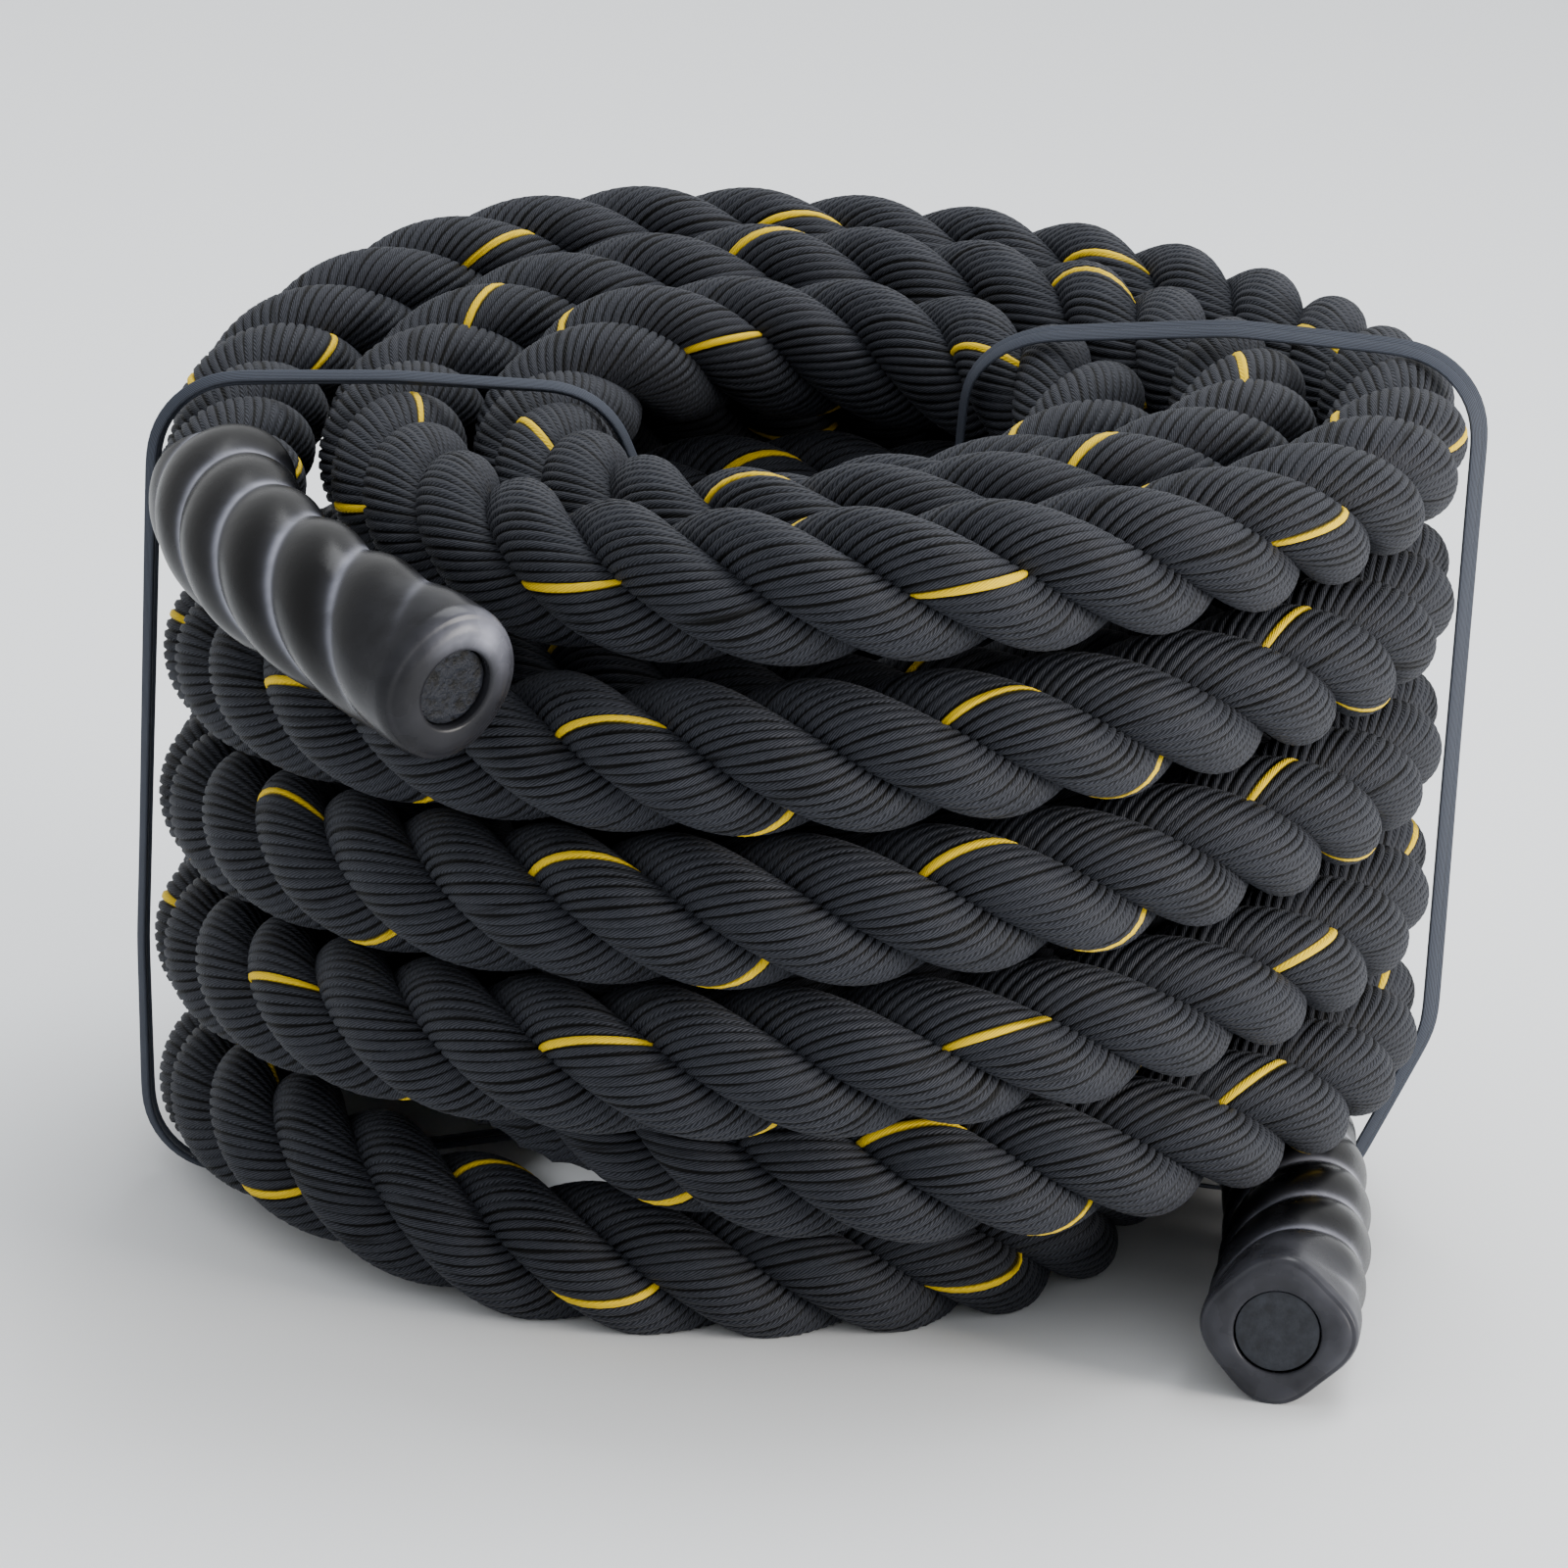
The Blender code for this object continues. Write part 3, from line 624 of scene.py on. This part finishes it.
def disc_piece(name, node, end_place, toward, radius, recess, lifted, finish):
    """One disc, square to the rope's end and sunk below it by the recess."""
    middle, way, across, up = (v[0] for v in lay_frame(np.array([end_place])))
    bpy.ops.object.select_all(action="DESELECT")
    bpy.ops.mesh.primitive_cylinder_add(
        vertices=DISC_SIDES, radius=radius, depth=DISC_DEPTH, end_fill_type="TRIFAN")
    piece = bpy.context.object
    piece.name = name
    bpy.ops.object.mode_set(mode="EDIT")
    bpy.ops.mesh.select_all(action="SELECT")
    bpy.ops.mesh.subdivide(number_cuts=DISC_CUTS)
    bpy.ops.object.mode_set(mode="OBJECT")
    edge = piece.modifiers.new("worn_edge", "BEVEL")
    edge.width = DISC_WORN_EDGE
    edge.segments = 2
    edge.limit_method = "ANGLE"
    bpy.ops.object.modifier_apply(modifier=edge.name)
    bpy.ops.object.shade_smooth_by_angle(angle=math.radians(40))
    out = Vector(way * toward)
    level = Vector(across)
    turn = Matrix((level, out.cross(level), out)).transposed().to_4x4()
    seat = Vector(middle + up * lifted) - out * (recess + DISC_DEPTH / 2)
    piece.data.transform(Matrix.Translation(seat) @ turn)
    piece.data.materials.append(finish)
    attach(piece, "root")
    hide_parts(node)
    return piece


# A dark gap shows round each disc. The lower one sits high in its hole, so that its gap is
# widest below
LOWER_GAP = 0.0004
lower_disc = disc_piece(
    "lower_end_disc", "lower_end_cap", end_place=0.0, toward=-1.0, radius=LOWER_RIM - LOWER_GAP,
    recess=LOWER_RECESS, lifted=LOWER_GAP, finish=smooth_glue)
UPPER_GAP = 0.0003
upper_disc = disc_piece(
    "upper_end_disc", "upper_end_cap", end_place=ROPE_LENGTH, toward=1.0,
    radius=UPPER_RIM - UPPER_GAP, recess=UPPER_RECESS, lifted=0.0, finish=broken_glue)


# The ties. Each is one flat tape of woven polyester, laid double round all the turns on its
# side of the coil and drawn tight, so that its two runs lean on edge and part a little.
TAPE_WIDTH = 0.0036
TAPE_THICKNESS = 0.0009
TAPE_CLEARANCE = 0.0003
TAPE_STEP = 0.0025
TAPE_ROUNDING_PASSES = 3
TAPE_PATTERN_UNIT = 0.002
TAPE_CORNER_UNIT = 0.25
TAPE_FLAT_SHARE = 0.8
RIB_SPACING = 0.0004825
TAPE_FLOOR_GAP = 0.0002
TAPE_LOWEST_MIDDLE = 0.0006
TIED_RADIUS = 0.0195
SLACK_BEND = 0.001
LEAN_WAVE = 0.12
RUN_GAP = 0.0003
RUN_GAP_WAVE = 0.0011
RUN_GAP_OUTSIDE = 0.0007
RUN_LAP = 0.0001
TAPE_WAVE = 0.0003
TAPE_RIPPLE = 0.0002

# Woven flat: matt, in fine lengthwise ribs with a pale thread between darker ones
tape_finish = bpy.data.materials.new("woven_polyester_tape")
tape_finish.use_nodes = True
tree = tape_finish.node_tree
shader = tree.nodes["Principled BSDF"]
shader.inputs["Roughness"].default_value = 0.7
shader.inputs["Specular IOR Level"].default_value = 0.25
place = add_node(tree, "ShaderNodeTexCoord")
# The dozen or so ribs of such a tape are drawn as six, 0.5 mm apart, so that they show. A
# level wave at scale 1 repeats every tau / 20
rib_scale = math.tau / 20 * TAPE_FLAT_SHARE * TAPE_WIDTH / (TAPE_CORNER_UNIT * RIB_SPACING)
weave = add_node(tree, "ShaderNodeTexWave",
                 {"Scale": rib_scale, "Distortion": 2.5, "Detail": 2.0, "Detail Scale": 0.3},
                 [(place.outputs["UV"], "Vector")], bands_direction="Y")
ramp = add_node(tree, "ShaderNodeMix", {6: linear("#111318"), 7: linear("#444a57")},
                [(weave.outputs["Fac"], 0)], data_type="RGBA")
tree.links.new(ramp.outputs[2], shader.inputs["Base Color"])
bump = add_node(tree, "ShaderNodeBump", {"Strength": 0.4, "Distance": 0.0002},
                [(weave.outputs["Fac"], "Height")])
tree.links.new(bump.outputs["Normal"], shader.inputs["Normal"])


def convex_outline(points):
    """The line of a tape drawn tight round the points."""
    points = sorted(set(map(tuple, points)))
    halves = []
    for ordered in (points, points[::-1]):
        chain = []
        for x, y in ordered:
            while len(chain) > 1:
                (ax, ay), (bx, by) = chain[-2], chain[-1]
                if (bx - ax) * (y - ay) - (by - ay) * (x - ax) > 0:
                    break
                chain.pop()
            chain.append((x, y))
        halves.append(chain[:-1])
    return np.array(halves[0] + halves[1])


def tie_piece(name, node, inner, outer, slack, tilt, seed):
    """A doubled tape round all the turns that its upright plane crosses."""
    inner, outer = np.array(inner) * PITCH + AXIS[:2], np.array(outer) * PITCH + AXIS[:2]
    outward = unit(outer - inner)
    across = np.array([-outward[1], outward[0]])
    sides, reach = (route[:, :2] - inner) @ across, (route[:, :2] - inner) @ outward
    near = np.maximum(abs(sides) - TAPE_WIDTH, 0)
    crossed = (near < TIED_RADIUS) & (reach > -PITCH)
    discs = np.sqrt(TIED_RADIUS**2 - near[crossed] ** 2) + TAPE_CLEARANCE + TAPE_THICKNESS / 2
    middles = np.stack([reach[crossed], route[crossed, 2]], axis=1)
    # Inside the coil the tape is slack, and bends round one point that is clear of the turns
    middles = np.vstack([middles, np.array([-slack[0], slack[1]]) * PITCH])
    discs = np.append(discs, SLACK_BEND)
    ring = np.radians(np.arange(0, 360, 5))
    outline = convex_outline((middles[:, None] + discs[:, None, None]
                              * np.stack([np.cos(ring), np.sin(ring)], axis=1)).reshape(-1, 2))
    outline[:, 1] = np.maximum(outline[:, 1], TAPE_LOWEST_MIDDLE)
    closed = np.vstack([outline, outline[:1]])
    run = np.concatenate([[0], np.cumsum(np.linalg.norm(np.diff(closed, axis=0), axis=1))])
    count = round(run[-1] / TAPE_STEP)
    places = np.arange(count) * run[-1] / count
    flat_line = np.stack([np.interp(places, run, closed[:, axis]) for axis in range(2)], axis=1)
    for _ in range(TAPE_ROUNDING_PASSES):
        beside = np.roll(flat_line, 1, axis=0) + np.roll(flat_line, -1, axis=0)
        flat_line = (beside + 2 * flat_line) / 4
    way = unit(np.roll(flat_line, -1, axis=0) - np.roll(flat_line, 1, axis=0))
    normal = np.stack([way[:, 1], -way[:, 0]], axis=1)
    parts, faces, uvs, count_all = [], [], [], 0
    share = TAPE_FLAT_SHARE
    section = [(-1, -0.6), (-share, -1), (share, -1), (1, -0.6),
               (1, 0.6), (share, 1), (-share, 1), (-1, 0.6)]
    # The tape leans more, and its runs stand further apart, down the outside of the coil. Its
    # waves are in radians for each metre
    facing = np.clip(normal[:, 0], 0, 1)
    lean = tilt * (0.75 + 0.25 * facing**2) + LEAN_WAVE * np.sin(places * 23 + seed)
    spread = RUN_GAP + RUN_GAP_WAVE * (0.5 + 0.5 * np.sin(places * 11 + seed))
    spread = spread + RUN_GAP_OUTSIDE * facing
    for run_side in (-1, 1):
        wander = (TAPE_WAVE * np.sin(places * 31 + seed + run_side)
                  + TAPE_RIPPLE * np.sin(places * 73 + 2 * seed))
        lift = TAPE_CLEARANCE + TAPE_WIDTH / 2 * abs(np.sin(lean))
        lift = lift + (TAPE_THICKNESS + RUN_LAP) * (run_side > 0)
        rings = []
        for x, y in section:
            wide = x * TAPE_WIDTH / 2
            thick = y * TAPE_THICKNESS / 2
            side = run_side * spread + wander + wide * np.cos(lean) - thick * np.sin(lean)
            off = thick * np.cos(lean) + wide * np.sin(lean) + lift
            spot = flat_line + normal * off[:, None]
            rings.append(np.stack([
                inner[0] + outward[0] * spot[:, 0] + across[0] * side,
                inner[1] + outward[1] * spot[:, 0] + across[1] * side,
                np.maximum(spot[:, 1], TAPE_FLOOR_GAP),
            ], axis=1))
        rings = np.stack(rings, axis=1)
        parts.append(rings.reshape(-1, 3))
        quads = skin(count, len(section), loop=True)[:, ::-1]
        faces.append(quads + count_all)
        uvs.append(np.stack([places[quads // len(section)] / TAPE_PATTERN_UNIT,
                             (quads % len(section)) * TAPE_CORNER_UNIT], axis=-1))
        count_all += count * len(section)
    piece = mesh_piece(name, np.vstack(parts), np.vstack(faces), tape_finish)
    layer = piece.data.uv_layers.new(name="along_tape")
    flat = np.vstack([pairs.reshape(-1, 2) for pairs in uvs])
    layer.data.foreach_set("uv", flat.astype(np.float32).ravel())
    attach(piece, "root")
    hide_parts(node)


tie_piece("left_tape_tie", "left_tie", inner=(-1.75, -0.65), outer=(-3.87, -0.75),
          slack=(1.05, 3.40), tilt=-0.75, seed=1.0)
tie_piece("right_tape_tie", "right_tie", inner=(1.85, 0.62), outer=(3.87, 0.26),
          slack=(0.95, 3.00), tilt=0.75, seed=2.6)


# Floor and studio light. A plain floor of matt white paint, a warm soft box low at the
# right, a wide one overhead behind the coil, and an even pale surround.
FLOOR_SIZE = 12.0
LIT_HEIGHT = 0.12

bpy.ops.object.select_all(action="DESELECT")
bpy.ops.mesh.primitive_plane_add(size=FLOOR_SIZE, location=(0.0, 0.0, 0.0))
floor = bpy.context.object
floor.name = "floor"
# Dead matt, so that it takes soft shadows and mirrors nothing
floor_paint = bpy.data.materials.new("matt_white_paint")
floor_paint.use_nodes = True
floor_shader = floor_paint.node_tree.nodes["Principled BSDF"]
floor_shader.inputs["Base Color"].default_value = linear("#eceef0")
floor_shader.inputs["Roughness"].default_value = 0.9
floor.data.materials.append(floor_paint)

world = bpy.data.worlds.new("studio")
world.use_nodes = True
surround = world.node_tree.nodes["Background"]
surround.inputs["Color"].default_value = (0.97, 0.985, 1.0, 1.0)
surround.inputs["Strength"].default_value = 1.15
bpy.context.scene.world = world


def soft_light(name, place, size, watts, colour):
    """A square soft box that faces the coil's middle."""
    data = bpy.data.lights.new(name, "AREA")
    data.size = size
    data.energy = watts
    data.color = colour
    lamp = bpy.data.objects.new(name, data)
    lamp.location = place
    toward_coil = Vector((0.0, 0.0, LIT_HEIGHT)) - Vector(place)
    lamp.rotation_euler = toward_coil.to_track_quat("-Z", "Y").to_euler()
    bpy.context.scene.collection.objects.link(lamp)


soft_light("key_softbox", (1.6, -0.55, 0.38), size=0.7, watts=40.0, colour=(1.0, 0.95, 0.88))
soft_light("top_softbox", (0.3, 0.6, 1.9), size=1.2, watts=36.0, colour=(0.96, 0.98, 1.0))
